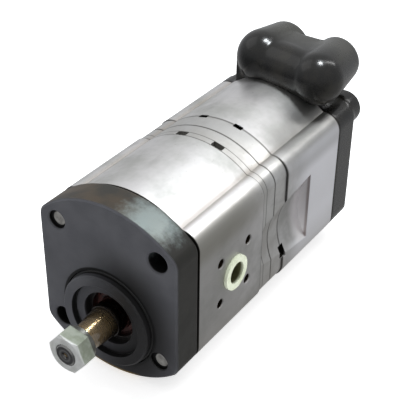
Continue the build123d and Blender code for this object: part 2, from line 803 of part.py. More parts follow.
# Shaft nut, its front corners turned off by a cone
with BuildPart() as shaft_nut:
    hexagon_solid(nut_back, nut_length, nut_flats, (0, 0), nut_turn)
    turned_face = nut_flats / 2 - nut_face_inset
    turned_rim = nut_flats / sqrt(3) + nut_turning_overrun
    with BuildSketch(along(0, 0)) as turning:
        with BuildLine():
            Polyline(
                (nut_back - nut_length, 0),
                (nut_back - nut_length, turned_face),
                (nut_back - nut_length + nut_turning_slope * (turned_rim - turned_face), turned_rim),
                (nut_back, turned_rim),
                (nut_back, 0),
                close=True,
            )
        make_face()
    revolve(turning.sketch, axis=Axis.Y, mode=Mode.INTERSECT)
    extrude(discs(nut_back, [(0, 0)], thread_radius), amount=nut_length, mode=Mode.SUBTRACT)
shaft_nut.part.label = "shaft_nut"
export_step(shaft_nut.part, "parts/shaft_nut.step")

# Splined sleeve that carries the drive to the rear pump
rear_spline_back = rear_plate_back + spline_gap
rear_spline_front = rear_spline_back - spline_length
with BuildPart() as coupling:
    coupling_back = rear_plate_back - coupling_end_gap
    coupling_length = coupling_back - front_body_back - coupling_end_gap
    extrude(discs(coupling_back, [(0, 0)], coupling_radius), amount=coupling_length)
    extrude(spline_profile(coupling_back, spline_clearance), amount=coupling_length, mode=Mode.SUBTRACT)
coupling.part.label = "coupling"
export_step(coupling.part, "parts/coupling.step")

with BuildPart() as rear_drive_gear:
    turned(
        [
            (rear_spline_front, 0),
            (rear_spline_front, spline_minor_radius),
            (rear_spline_back, spline_minor_radius),
            (rear_spline_back, journal_radius),
            (rear_body_back - spline_gap, journal_radius),
            (rear_body_back - spline_gap, 0),
        ],
        0,
        0,
        along(0, 0),
    )
    extrude(gear_profile(rear_gear_back, 0, 90), amount=rear_gear_length)
    extrude(spline_profile(rear_spline_back, 0), amount=spline_length)
rear_drive_gear.part.label = "rear_drive_gear"
export_step(rear_drive_gear.part, "parts/rear_drive_gear.step")

# Driven gears, a tooth space towards the drive gear
driven_tooth = 270 + 180 / teeth
driven_gears = {
    "front_driven_gear": (cover_back, front_body_back, front_gear_back, front_gear_length),
    "rear_driven_gear": (rear_plate_back, rear_body_back, rear_gear_back, rear_gear_length),
}
for name, (front, back, gear_back, gear_length) in driven_gears.items():
    with BuildPart() as driven_gear:
        extrude(
            discs(back - spline_gap, [(0, gear_centres)], journal_radius),
            amount=back - front - 2 * spline_gap,
        )
        extrude(gear_profile(gear_back, gear_centres, driven_tooth), amount=gear_length)
    driven_gear.part.label = name
    export_step(driven_gear.part, "parts/" + name + ".step")

# Two tie bolts with washers, from the seats in the rear cover into the front cover
for name, place in zip(("left", "right"), tie_corners):
    head_front = head_seat_y + washer_thickness
    with BuildPart() as washer:
        extrude(discs(head_front, [place], washer_radius), amount=washer_thickness)
        extrude(discs(head_front, [place], bolt_radius), amount=washer_thickness, mode=Mode.SUBTRACT)
    washer.part.label = "tie_washer_" + name
    export_step(washer.part, "parts/tie_washer_" + name + ".step")
    with BuildPart() as tie_bolt:
        extrude(discs(head_front, [place], bolt_radius), amount=head_front - bolt_end_recess)
        hexagon_solid(head_front + head_height, head_height, head_flats, place, 0)
    tie_bolt.part.label = "tie_bolt_" + name
    export_step(tie_bolt.part, "parts/tie_bolt_" + name + ".step")

# Dowel pins across the joints
pin_runs = {
    "cover_pin": (cover_back - pin_depth, cover_back + pin_depth),
    "spacer_pin": (front_body_back - pin_depth, spacer_back + pin_depth - 1),
    "plate_pin": (spacer_back + pin_depth, front_plate_back + pin_depth),
    "rear_body_pin": (rear_plate_back - pin_depth, rear_plate_back + pin_depth),
    "rear_cover_pin": (rear_body_back - pin_depth, rear_body_back + pin_depth),
}
for name, (front, back) in pin_runs.items():
    for label, place in zip(("upper", "lower"), pin_places):
        with BuildPart() as pin:
            extrude(discs(back, [place], pin_radius), amount=back - front)
        pin.part.label = name + "_" + label
        export_step(pin.part, "parts/" + name + "_" + label + ".step")

# Plastic plugs in the two side ports
for name, direction, radius in (("outlet_plug", 1, outlet_radius), ("inlet_plug", -1, inlet_radius)):
    face = Plane(origin=(direction * side, 0, 0), x_dir=(0, direction, 0), z_dir=(direction, 0, 0))
    place = (direction * port_y, port_z)
    with BuildPart() as plug:
        with BuildSketch(face) as flange:
            with Locations(place):
                Circle(radius + plug_flange)
        extrude(flange.sketch, amount=plug_flange_thickness)
        with BuildSketch(face) as stem:
            with Locations(place):
                Circle(radius - plug_clearance)
        extrude(stem.sketch, amount=-plug_depth)
        with BuildSketch(face.offset(plug_flange_thickness)) as recess:
            with Locations(place):
                Circle(radius - plug_clearance - plug_wall)
        extrude(recess.sketch, amount=-(plug_depth + plug_flange_thickness - plug_wall), mode=Mode.SUBTRACT)
    plug.part.label = name
    export_step(plug.part, "parts/" + name + ".step")
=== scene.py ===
# %% [markdown]
# # Dressing a tandem gear pump
#
# The pump arrives as exact solids, one for each real piece: two aluminium bodies, the plates
# between them, a dark front cover, a cast rear cover, the shaft and everything inside. Blender
# gives them their finishes, and makes the few things that a solid modeller leaves plain, such
# as the soft blends of the casting and the screw threads in its ports.

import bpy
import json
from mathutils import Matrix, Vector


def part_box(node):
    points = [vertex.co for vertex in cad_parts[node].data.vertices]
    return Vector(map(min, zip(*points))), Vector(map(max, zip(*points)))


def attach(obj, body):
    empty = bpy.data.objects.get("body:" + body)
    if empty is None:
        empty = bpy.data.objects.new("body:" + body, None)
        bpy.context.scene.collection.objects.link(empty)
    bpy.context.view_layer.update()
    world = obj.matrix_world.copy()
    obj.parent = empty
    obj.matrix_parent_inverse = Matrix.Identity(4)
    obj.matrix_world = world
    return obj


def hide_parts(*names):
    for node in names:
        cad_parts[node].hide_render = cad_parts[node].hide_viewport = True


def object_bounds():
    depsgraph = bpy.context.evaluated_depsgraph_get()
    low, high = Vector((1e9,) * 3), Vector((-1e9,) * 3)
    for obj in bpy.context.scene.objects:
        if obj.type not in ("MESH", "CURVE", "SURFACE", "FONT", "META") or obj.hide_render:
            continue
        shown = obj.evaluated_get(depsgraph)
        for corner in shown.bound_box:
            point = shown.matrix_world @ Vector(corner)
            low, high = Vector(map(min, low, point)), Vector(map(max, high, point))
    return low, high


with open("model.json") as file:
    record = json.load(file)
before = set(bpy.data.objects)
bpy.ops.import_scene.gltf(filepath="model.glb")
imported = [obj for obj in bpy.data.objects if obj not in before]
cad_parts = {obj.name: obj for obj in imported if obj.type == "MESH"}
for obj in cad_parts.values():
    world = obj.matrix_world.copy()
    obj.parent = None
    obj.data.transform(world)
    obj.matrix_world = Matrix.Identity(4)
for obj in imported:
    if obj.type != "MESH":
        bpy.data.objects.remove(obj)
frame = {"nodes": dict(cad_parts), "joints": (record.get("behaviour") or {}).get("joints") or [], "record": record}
cad_low, cad_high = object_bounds()
print("solids:", len(frame["nodes"]), "from", tuple(cad_low), "to", tuple(cad_high))

# %% [markdown]
# ## Names used everywhere
#
# Lengths are in metres in Blender, so `MM` keeps the sizes readable. The places of the two
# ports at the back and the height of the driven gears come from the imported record, because
# the threads and the turned finishes have to be centred on them. The housing is the same
# above and below a line halfway between the two gear axes: `middle_height`.

# %% Units and places from the record
import json
from math import cos, pi, radians, sin

import bmesh
import bpy
from mathutils import Matrix, Vector

MM = 0.001
mounts = {mount["name"]: mount for mount in frame["record"]["mounts"]}
hinges = {hinge["name"]: hinge for hinge in frame["joints"]}
rear_ports = [mounts["rear_port_left"], mounts["rear_port_right"]]
upper_axis = hinges["front_driven_spin"]["pos_m"][2]
middle_height = upper_axis / 2
for port in rear_ports:
    print(port["name"], port["pos_m"], port["dims"])
print("driven gears turn", round(upper_axis / MM, 1), "mm above the shaft")

# %% [markdown]
# ## A small language for finishes
#
# A finish is a tree of nodes. Written out node by node it is hard to read, so a `Wire` stands
# for one output of a node: Python's own signs then add the Math nodes, and `node` adds any
# other node, with its settings first and the values of its sockets after them.


# %% Wires
class Wire:
    """One output of a node, ready for sums with numbers and other wires."""

    def __init__(self, tree, socket=None):
        self.tree = tree
        self.socket = socket

    def node(self, kind, settings, values, output=0):
        made = self.tree.nodes.new(kind)
        for name, value in settings.items():
            setattr(made, name, value)
        for name, value in values.items():
            if isinstance(value, Wire):
                self.tree.links.new(value.socket, made.inputs[name])
            else:
                made.inputs[name].default_value = value
        return Wire(self.tree, made.outputs[output])

    def math(self, operation, *values):
        return self.node("ShaderNodeMath", {"operation": operation}, dict(enumerate(values)))

    def __add__(self, other):
        return self.math("ADD", self, other)

    def __sub__(self, other):
        return self.math("SUBTRACT", self, other)

    def __rsub__(self, other):
        return self.math("SUBTRACT", other, self)

    def __mul__(self, other):
        return self.math("MULTIPLY", self, other)

    __radd__ = __add__
    __rmul__ = __mul__

    def span(self, low, high):
        """0 at the value low, 1 at high, and smoothly between them."""
        settings = {"interpolation_type": "SMOOTHSTEP"}
        values = {"Value": self, "From Min": low, "From Max": high}
        return self.node("ShaderNodeMapRange", settings, values)

    def ramp(self, low, high):
        """0 at low millimetres, 1 at high millimetres, and smoothly between them."""
        return self.span(low * MM, high * MM)

    def mix(self, first, second):
        """The first colour where this wire is 0, the second where it is 1."""
        return self.node("ShaderNodeMix", {"data_type": "RGBA"}, {0: self, 6: first, 7: second}, 2)


def colour(red, green, blue):
    """An opaque colour for a socket."""
    return (red, green, blue, 1.0)


# %% [markdown]
# ## Patterns that the finishes share
#
# Machined and cast metal is never one even grey. Soft clouds stand for handling and oxide,
# and the same clouds, stretched thin, are the lines that a tool or a die leaves. Everything
# else is measured from the pump itself: how far a place lies along the shaft, from the shaft
# or from another axis beside it.


# %% Clouds, tool lines and distances
def clouds(at, size, detail=3.0, roughness=0.55, stretch=(1.0, 1.0, 1.0)):
    """Soft patches about size metres across, from 0 to 1."""
    spot = at.node("ShaderNodeMapping", {}, {"Vector": at, "Scale": stretch})
    values = {"Vector": spot, "Scale": 1.0 / size, "Detail": detail, "Roughness": roughness}
    return at.node("ShaderNodeTexNoise", {}, values)


def split(at):
    """The three coordinates of a place on the pump, in metres."""
    return [at.node("ShaderNodeSeparateXYZ", {}, {"Vector": at}, axis) for axis in range(3)]


def reach(first, second):
    """Length of the slanted side when these two are the square ones."""
    total = first * first + second * second
    return total.math("SQRT", total)


def size_of(wire):
    """The value without its sign."""
    return wire.math("ABSOLUTE", wire)


def either(first, second):
    """The larger of two masks."""
    return first.math("MAXIMUM", first, second)


def distance_from(at, z_axis, x_axis=0.0):
    """Distance from a line that runs along the shaft's direction."""
    x, y, z = split(at)
    return reach(x - x_axis, z - z_axis)


# %% [markdown]
# ## Edges
#
# No edge on a real pump is as sharp as that of a solid. The Bevel node rounds edges off in
# the shading only, which is enough for a quarter of a millimetre. Where that rounded surface
# and the true one differ, there is an edge, so the two together also make a mask of the
# places where paint wears off, without a painted map.


# %% Rounded edges
def rounded(at, radius):
    """The surface direction with every edge rounded off by radius."""
    return at.node("ShaderNodeBevel", {"samples": 6}, {"Radius": radius})


def edge_mask(at, radius):
    """1 along sharp edges, 0 on the flats beside them."""
    true = at.node("ShaderNodeNewGeometry", {}, {}, "Normal")
    soft = rounded(at, radius)
    values = {0: true, 1: soft}
    same = at.node("ShaderNodeVectorMath", {"operation": "DOT_PRODUCT"}, values, "Value")
    return same.span(0.995, 0.9)


def bumped(at, height, distance, strength=1.0, radius=0.25 * MM):
    """A surface direction that follows the rounded edges and a height pattern."""
    edges = rounded(at, radius)
    values = {"Height": height, "Distance": distance, "Strength": strength, "Normal": edges}
    return at.node("ShaderNodeBump", {}, values)


# %% [markdown]
# ## Starting a finish
#
# Every finish starts as one Principled shader and the place on the piece in object
# coordinates. All pieces lie in the pump's own frame, so one pattern runs on from piece to
# piece. What is the same all over is set on the shader, and what varies is fed by a wire.


# %% Start a finish
def new_finish(name, metallic, roughness, coat=0.0):
    """An empty finish, its shader, and a wire of places on the pump."""
    material = bpy.data.materials.new(name)
    material.use_nodes = True
    shader = material.node_tree.nodes["Principled BSDF"]
    shader.inputs["Metallic"].default_value = metallic
    shader.inputs["Roughness"].default_value = roughness
    shader.inputs["Coat Weight"].default_value = coat
    at = Wire(material.node_tree).node("ShaderNodeTexCoord", {}, {}, "Object")
    return material, shader, at


def feed(shader, socket, wire):
    """Joins a wire to a socket of the shader."""
    wire.tree.links.new(wire.socket, shader.inputs[socket])


# %% [markdown]
# ## Drawn aluminium of the two bodies
#
# The bodies are cut from a drawn bar, so their curved skin has long faint lines from front to
# back and a cloudy, slightly stained bloom. Their flat sides are milled afterwards. A metal
# shader with two sizes of cloud in its colour gives the bloom; the lines go into roughness and
# a very shallow bump, because they are felt more than seen.
#
# Oil and dirt stay in the joints between the pieces. The first helper darkens a thin band at
# each joint, and each band has its own width, because some joints are tighter than others.

# %% The joints across the shaft
rear_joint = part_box("rear_body")[0].y
cover_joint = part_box("rear_body")[1].y
joints = [
    (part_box("front_body")[0].y, 0.4 * MM, 0.8),
    (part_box("front_body")[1].y, 0.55 * MM, 0.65),
    (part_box("front_plate")[0].y, 0.5 * MM, 0.6),
    (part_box("rear_plate")[0].y, 0.8 * MM, 0.85),
    (rear_joint, 1.0 * MM, 0.7),
    (cover_joint, 0.7 * MM, 0.9),
]
print("joints at", [round(place / MM, 1) for place, width, darkness in joints])


def oil_near(y, places):
    """Dirt in the joints across the shaft: each place has its own width and darkness."""
    near = None
    for place, width, darkness in places:
        one = size_of(y - place).span(width, 0.2 * width) * darkness
        near = one if near is None else either(near, one)
    return near


# %% [markdown]
# ## Painted shade and light on the aluminium
#
# A valley runs beside each rounded corner of the bar and gets a band of painted shade. The
# flat side by the port is painted darker towards the front and lighter towards the back,
# painted shade and painted light, as the photograph shows. The waist in the side of the rear
# body ends in a painted highlight on its slope and a thin painted shadow. The top right of the
# rear body and a brow over the front flank get painted shade as well. These masks are plain
# tests of the place on the pump, so they follow no painted map either.

# %% Painted shade and light
valley_x = 30.1 * MM
valley_rise = 38.2 * MM
waist_height = 13 * MM


def painted_shading(tone, at):
    """Painted shade and painted light: the places where the metal is drawn darker or brighter than the rest of it.
    """
    x, y, z = split(at)
    # Painted shade in the valley beside each rounded corner.
    painted_valley_shade = reach(size_of(x) - valley_x, size_of(z - middle_height) - valley_rise)
    tone = (painted_valley_shade.ramp(3.4, 0.4) * 0.42).mix(tone, colour(0.3, 0.25, 0.2))
    # The flat side is painted darker towards the front, painted shade, and lighter towards the back, painted
    # light.
    flank = x.ramp(38.5, 40.5)
    tone = (flank * y.ramp(95, 35) * 0.75).mix(tone, colour(0.36, 0.355, 0.34))
    tone = (flank * y.ramp(95, 125)).mix(tone, colour(0.93, 0.93, 0.96))
    waist = x.ramp(40.9, 40.6) * x.ramp(30, 33) * size_of(z - waist_height).ramp(26, 20)
    # Painted highlight on the slope of the waist.
    tone = (waist * y.ramp(112, 122)).mix(tone, colour(0.97, 0.95, 0.95))
    # Painted shadow where the waist ends at the pad.
    painted_waist_shadow = waist * x.ramp(38.6, 39.9) * y.ramp(123, 124.8)
    tone = (painted_waist_shadow * 0.6).mix(tone, colour(0.3, 0.22, 0.21))
    # Painted shade on the top right of the rear body, where the highlight is weaker.
    painted_rear_shade = y.ramp(88, 112) * x.ramp(14, 27) * x.ramp(46, 35) * z.ramp(36, 44)
    tone = (painted_rear_shade * 0.78).mix(tone, colour(0.26, 0.26, 0.25))
    # Painted shade in a band over the front of the flank.
    painted_brow_shade = x.ramp(35.2, 39) * z.ramp(33, 43) * y.ramp(95, 50)
    return (painted_brow_shade * 0.72).mix(tone, colour(0.3, 0.29, 0.25))


# %% Dirt and painted shade
arch_centre = 18.2 * MM
slot_height = -3 * MM
port_place = Vector(mounts["outlet_screws"]["pos_m"])
screw_circle = mounts["outlet_screws"]["dims"]["pcd_mm"] * MM
screw_reach = screw_circle / 2 * cos(radians(45))
print("screws of the side port:", round(screw_reach / MM, 2), "mm along and above its axis")


def joint_dirt_and_hole_shade(tone, at):
    """Dirt in the joints, and painted shade in the top notches, the side slot and the screw holes."""
    x, y, z = split(at)
    tone = oil_near(y, joints).mix(tone, colour(0.045, 0.04, 0.035))
    # Painted shade in the top notches and in the side slot.
    beside_joint = size_of(y - rear_joint)
    painted_notch_shade = beside_joint.ramp(2.0, 1.8) * distance_from(at, arch_centre).ramp(47.3, 46.9)
    painted_notch_shade = painted_notch_shade * z.ramp(50, 52)
    slot = beside_joint.ramp(2.7, 2.5) * size_of(z - slot_height).ramp(3.8, 3.5)
    painted_notch_shade = either(painted_notch_shade, slot * x.ramp(40.15, 40.0))
    tone = painted_notch_shade.mix(tone, colour(0.012, 0.01, 0.008))
    # Painted shade in the screw holes of the side port.
    along, above = size_of(y - port_place.y), size_of(z - port_place.z)
    painted_screw_hole_shade = reach(along - screw_reach, above - screw_reach).ramp(3.1, 2.9)
    painted_screw_hole_shade = painted_screw_hole_shade * size_of(x).ramp(40.9, 40.0)
    return painted_screw_hole_shade.mix(tone, colour(0.085, 0.062, 0.042))


# %% [markdown]
# ## The aluminium itself
#
# The base is two tones in clouds, with stretched smears, faint lines and a few dark specks.
# Painted shade, painted light and dirt go over it, and the lowest part is painted warmer and
# darker, as painted shade. One patch near the front right edge is kept evenly bright and
# clear of clouds, as a painted highlight.
# The plates are a little darker, and the bearing blocks smoother.


# %% Aluminium
def aluminium(name, bright, dull, line_length, gloss):
    """Metal of two tones, with lines of this length that run from front to back."""
    material, shader, at = new_finish(name, 1.0, gloss)
    x, y, z = split(at)
    # Near the front right edge the clouds fade out: a painted highlight.
    clear = x.ramp(16, 27) * y.ramp(66, 48) * z.ramp(40, 47)
    bloom = clouds(at, 34 * MM, 4.0, 0.6).span(0.34, 0.68) * (1.0 - clear * 0.85)
    smears = clouds(at, 9 * MM, 3.0, 0.6, (1.0, 0.45, 1.0)).span(0.5, 0.78)
    lines = clouds(at, 0.5 * MM, 2.0, 0.5, (1.0, 0.5 * MM / line_length, 1.0))
    specks = clouds(at, 2.2 * MM, 1.0).span(0.7, 0.8)
    tone = bloom.mix(colour(*bright), colour(*dull))
    tone = (smears * 0.35).mix(tone, colour(*[part * 0.72 for part in dull]))
    tone = (specks * 0.3).mix(tone, colour(0.3, 0.28, 0.26))
    tone = joint_dirt_and_hole_shade(painted_shading(tone, at), at)
    # Warmer and darker towards the bottom: painted shade.
    low = z.ramp(6, -34) * 0.5
    feed(shader, "Base Color", low.mix(tone, colour(0.4, 0.37, 0.33)))
    feed(shader, "Roughness", gloss + (bloom - 0.5) * 0.16 + (lines - 0.5) * 0.14)
    feed(shader, "Normal", bumped(at, lines, 0.02 * MM, 0.5))
    return material


body_tones = ((0.72, 0.71, 0.71), (0.42, 0.42, 0.405))
plate_tones = ((0.64, 0.64, 0.63), (0.45, 0.44, 0.42))
block_tones = ((0.7, 0.7, 0.69), (0.6, 0.59, 0.57))
body_metal = aluminium("drawn_aluminium", *body_tones, 60 * MM, 0.48)
plate_metal = aluminium("plate_aluminium", *plate_tones, 8 * MM, 0.42)
block_metal = aluminium("bearing_block_aluminium", *block_tones, 8 * MM, 0.3)
print("aluminium:", body_metal.name, plate_metal.name, block_metal.name)

# %% [markdown]
# ## Dark paint of the front cover
#
# The cover is machined, then painted a dark bluish grey. Towards its rim the paint turns
# olive and thins to bare metal along the edges, and one patch near the top is a painted
# highlight of bright bare metal. The face gets a painted shadow to the right of the pilot, and
# the flat side of the rim painted shade. The rim is everything behind the flat front face, so
# its mask is a plain test of the distance from that face. The grooves, the well round the shaft
# and the bolt holes are painted black, as painted shade.

# %% Shadows of the front cover
bolt_reach = 30 * MM
bolt_axes = [
    (side * bolt_reach, middle_height + level * bolt_reach) for side in (-1, 1) for level in (-1, 1)
]


def cover_shadows(tone, at):
    """Painted shade: the black of the grooves, of the well round the shaft and of the bolt holes."""
    y = split(at)[1]
    radius = distance_from(at, 0.0)
    groove = radius.ramp(25.6, 25.9) * y.ramp(-1.4, -0.7) * radius.ramp(28.9, 28.4)
    ledge = size_of(radius - 20.4 * MM).ramp(0.8, 0.3) * y.ramp(-3.95, -3.4)
    well = radius.ramp(20.4, 20.0) * y.ramp(-0.6, 1.0)
    dark = either(either(groove, ledge), well * 0.9)
    tone = dark.mix(tone, colour(0.006, 0.006, 0.006))
    for x_hole, z_hole in bolt_axes:
        inside = distance_from(at, z_hole, x_hole).ramp(5.9, 5.6) * y.ramp(0.2, 2.5)
        tone = inside.mix(tone, colour(0.004, 0.004, 0.004))
    return tone


# %% [markdown]
# The rim's bare metal and its painted highlight are made of two masks. The highlight patch is a
# distance from one place, broken up by a fine grain, and the worn edges are the edge mask,
# broken up in the same way.

# %% Wear and painted highlight of the front cover
painted_highlight_place = (21 * MM, 8 * MM, 62 * MM)


def cover_wear_and_highlight(at, rim):
    """How bare the rim is: one patch of painted highlight, and thin broken lines of wear along the edges."""
    values = {0: at, 1: painted_highlight_place}
    away = at.node("ShaderNodeVectorMath", {"operation": "DISTANCE"}, values, "Value")
    grain = clouds(at, 3.5 * MM, 4.0, 0.65)
    # The patch is a painted highlight; the worn edges are real wear.
    patch = rim * (away + (grain - 0.5) * (16 * MM)).ramp(19, 4)
    worn = edge_mask(at, 0.4 * MM) * grain.span(0.45, 0.65)
    return either(patch * 0.55, worn * 0.15)


# %% Front cover
sole_centre = 25.1 * MM


def cover_paint():
    """Dark paint: bluish on the face, olive on the rim, brass-coloured oil on the sole, with painted shade and a
    painted highlight.
    """
    material, shader, at = new_finish("front_cover_paint", 0.0, 0.42)
    shader.inputs["Specular IOR Level"].default_value = 0.25
    x, y, z = split(at)
    rim = y.ramp(0.5, 1.4)
    mottle = clouds(at, 16 * MM, 3.0).span(0.35, 0.65)
    face = mottle.mix(colour(0.056, 0.057, 0.065), colour(0.068, 0.069, 0.077))
    # Painted shadow on the face to the right of the pilot.
    painted_pilot_shadow = distance_from(at, 0.0).ramp(52, 28) * x.ramp(-22, 15)
    face = (painted_pilot_shadow * 0.92).mix(face, colour(0.008, 0.0075, 0.0075))
    side = mottle.mix(colour(0.045, 0.034, 0.023), colour(0.024, 0.023, 0.02))
    # Painted shade on the flat and right-hand parts of the rim's side.
    shaded = either(z.ramp(57, 46), x.ramp(26, 36))
    side = shaded.mix(side, colour(0.012, 0.0115, 0.0095))
    tone = cover_shadows(rim.mix(face, side), at)
    sole = distance_from(at, sole_centre).ramp(55.6, 57.0) * size_of(x - 2 * MM).ramp(18, 8)
    sole = sole * z.ramp(0, -10)
    tone = (sole * 0.8).mix(tone, colour(0.3, 0.2, 0.06))
    bare_and_highlight = cover_wear_and_highlight(at, rim)
    feed(shader, "Base Color", bare_and_highlight.mix(tone, colour(0.32, 0.38, 0.375)))
    feed(shader, "Metallic", either(bare_and_highlight * 0.8, sole * 0.5))
    feed(shader, "Roughness", 0.46 - bare_and_highlight * 0.1 + (mottle - 0.5) * 0.08)
    skin = clouds(at, 0.7 * MM, 2.0)
    feed(shader, "Normal", bumped(at, skin, 0.02 * MM, 0.35, 0.3 * MM))
    return material


front_paint = cover_paint()
print("bolt axes", [(round(x / MM, 1), round(z / MM, 1)) for x, z in bolt_axes])

# %% [markdown]
# ## Black cast skin of the rear cover
#
# Sand leaves small pits and swellings on a casting, which a thick black paint half fills. Two
# sizes of noise make that skin in the bump, and the gloss changes with them, so the light
# breaks up a little on the domes as it does on the real thing. A clear coat over it gives the
# small bright highlights. The tops behind the domes are lighter, partly from dust and partly as
# painted light.


# %% Rear cover
def cast_paint():
    """Black paint over a sandy skin, lighter on top of the port bosses: dust and painted light."""
    material, shader, at = new_finish("rear_cover_paint", 0.0, 0.34, 0.55)
    shader.inputs["Specular IOR Level"].default_value = 0.12
    shader.inputs["Coat Roughness"].default_value = 0.2
    y, z = split(at)[1:]
    swell = clouds(at, 5 * MM, 2.0, 0.5)
    pits = clouds(at, 1.1 * MM, 3.0, 0.6)
    dust = clouds(at, 22 * MM, 4.0, 0.62).span(0.45, 0.72)
    tone = dust.mix(colour(0.005, 0.005, 0.0048), colour(0.016, 0.0145, 0.011))
    # Lighter on the tops behind the domes: partly dust, partly painted light.
    top_dust_and_light = z.ramp(76, 90) * y.ramp(156, 176)
    tone = (top_dust_and_light * (0.3 + pits)).mix(tone, colour(0.048, 0.048, 0.043))
    feed(shader, "Base Color", tone)
    feed(shader, "Roughness", 0.22 + dust * 0.2 + (pits - 0.5) * 0.22)
    height = swell * 0.6 + pits * 0.4
    feed(shader, "Normal", bumped(at, height, 0.28 * MM, 0.55, 0.4 * MM))
    return material


casting_paint = cast_paint()
print("paints:", front_paint.name, casting_paint.name)

# %% [markdown]
# ## Turned steel
#
# The shaft is turned steel with a film of brown oil, so its lines run round the axis and its
# end face shows rings. Everything that turns is centred on the shaft, or on the axis above it,
# and the rings are a sine wave of the distance from there. Fine turned lines throw the light
# along the shaft and not round it, which is why a lamp shows on it as a long streak. So the
# surface direction is tipped a little along the shaft, at random for every hundredth of a
# millimetre.

# %% End of the shaft
shaft_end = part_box("drive_shaft")[0].y


def end_rings(tone, radius, y, end_face):
    """Painted shade on the foot of the taper down in the well, and rings on the end face of a shaft."""
    # Painted shade on the shaft where it sits down in the well of the cover.
    painted_well_shade = either(size_of(y + 3.0 * MM).ramp(1.1, 0.7), y.ramp(-2.4, -1.6))
    tone = painted_well_shade.mix(tone, colour(0.03, 0.02, 0.012))
    turns = radius * (2 * pi / (2.4 * MM))
    ring = turns.math("SINE", turns).span(-0.2, 0.8)
    shade = ring.mix(colour(0.03, 0.028, 0.026), colour(0.2, 0.2, 0.19))
    return y.span(end_face + 1.2 * MM, end_face + 0.9 * MM).mix(tone, shade)


# %% Lines along which light spreads
lines_per_metre = 1.0e5


def tipped(normal, y, amount):
    """A surface direction tipped to and fro along the shaft, as fine turned lines do."""
    settings = {"noise_dimensions": "1D"}
    chance = y.node("ShaderNodeTexWhiteNoise", settings, {"W": y * lines_per_metre})
    values = {"X": 0.0, "Y": (chance - 0.5) * amount, "Z": 0.0}
    lean = y.node("ShaderNodeCombineXYZ", {}, values)
    leaning = y.node("ShaderNodeVectorMath", {"operation": "ADD"}, {0: normal, 1: lean})
    return y.node("ShaderNodeVectorMath", {"operation": "NORMALIZE"}, {0: leaning})


# %% Turned steel
def turned_steel(name, bright, dark, gloss, z_axis=0.0, end_face=None, oil=0.0, scatter=0.0):
    """Steel of two tones with lines round an axis that lies at this height."""
    material, shader, at = new_finish(name, 1.0, gloss, oil)
    shader.inputs["Coat Roughness"].default_value = 0.05
    shader.inputs["Coat IOR"].default_value = 1.8
    y = split(at)[1]
    radius = distance_from(at, z_axis)
    across = at.node("ShaderNodeCombineXYZ", {}, {"X": radius, "Y": y, "Z": 0.0})
    lines = clouds(across, 0.35 * MM, 2.0)
    film = clouds(at, 7 * MM, 3.0, 0.6, (1.0, 0.2, 1.0)).span(0.35, 0.7)
    tone = film.mix(colour(*bright), colour(*dark))
    if end_face is not None:
        tone = end_rings(tone, radius, y, end_face)
    normal = bumped(at, lines, 0.015 * MM, 0.5, 0.2 * MM)
    if scatter:
        normal = tipped(normal, y, scatter)
    feed(shader, "Base Color", tone)
    feed(shader, "Roughness", gloss + (lines - 0.5) * 0.2 + film * 0.08)
    feed(shader, "Normal", normal)
    return material


oil_tones = ((0.42, 0.31, 0.17), (0.2, 0.14, 0.07))
gear_tones = ((0.6, 0.59, 0.57), (0.45, 0.43, 0.4))
shaft_steel = turned_steel("oiled_steel", *oil_tones, 0.22, 0.0, shaft_end, 1.0, 0.28)
washer_steel = turned_steel("washer_steel", (0.34, 0.34, 0.31), (0.2, 0.2, 0.18), 0.3)
gear_steel = turned_steel("ground_steel", *gear_tones, 0.28)
driven_steel = turned_steel("ground_steel_upper", *gear_tones, 0.28, upper_axis)
print("end face of the shaft at", round(shaft_end / MM, 1), "mm")

# %% [markdown]
# ## Zinc, bronze, rubber and pin steel
#
# The plain small parts need no lines: two close tones in soft patches and a fine grain in the
# bump are enough. Each row of the table below is one finish: its two tones, how metallic and
# how rough it is, the size of its patches and of its grain, and the depth of the grain.


# %% Plain finishes
def plain_finish(name, bright, dark, metallic, gloss, patch, grain, depth):
    """A finish of two close tones with a fine grain: plating, rubber or bronze."""
    material, shader, at = new_finish(name, metallic, gloss)
    tone = clouds(at, patch * MM, 3.0, 0.6).span(0.35, 0.68)
    skin = clouds(at, grain * MM, 2.0, 0.6)
    feed(shader, "Base Color", tone.mix(colour(*bright), colour(*dark)))
    feed(shader, "Roughness", gloss + (tone - 0.5) * 0.12 + (skin - 0.5) * 0.1)
    feed(shader, "Normal", bumped(at, skin, depth * MM, 0.5, 0.25 * MM))
    return material


plain_rows = [
    ("pin_steel", (0.2, 0.19, 0.18), (0.12, 0.115, 0.11), 1.0, 0.35, 3, 0.4, 0.01),
    ("pale_zinc", (0.66, 0.68, 0.62), (0.5, 0.53, 0.46), 0.8, 0.36, 6, 0.5, 0.02),
    ("bush_bronze", (0.62, 0.42, 0.22), (0.45, 0.3, 0.16), 1.0, 0.35, 5, 0.4, 0.01),
    ("black_rubber", (0.004, 0.004, 0.004), (0.009, 0.0085, 0.008), 0.0, 0.45, 6, 0.6, 0.02),
    ("lip_rubber", (0.06, 0.014, 0.01), (0.02, 0.009, 0.007), 0.0, 0.4, 5, 0.5, 0.02),
]
pin_steel, zinc, bronze, rubber, lip_rubber = [plain_finish(*row) for row in plain_rows]
print("plain finishes:", ", ".join(row[0] for row in plain_rows))

# %% [markdown]
# ## Plugs, bolt ends and nut
#
# Three small parts change tone over their own shape. The pale plastic plug gets olive painted
# shade down in its recess. The ends of the tie bolts lie in deep holes, so a crescent of painted
# shadow stays round each bright disc. The nut gets painted light on its front face and painted
# shade on its flats.


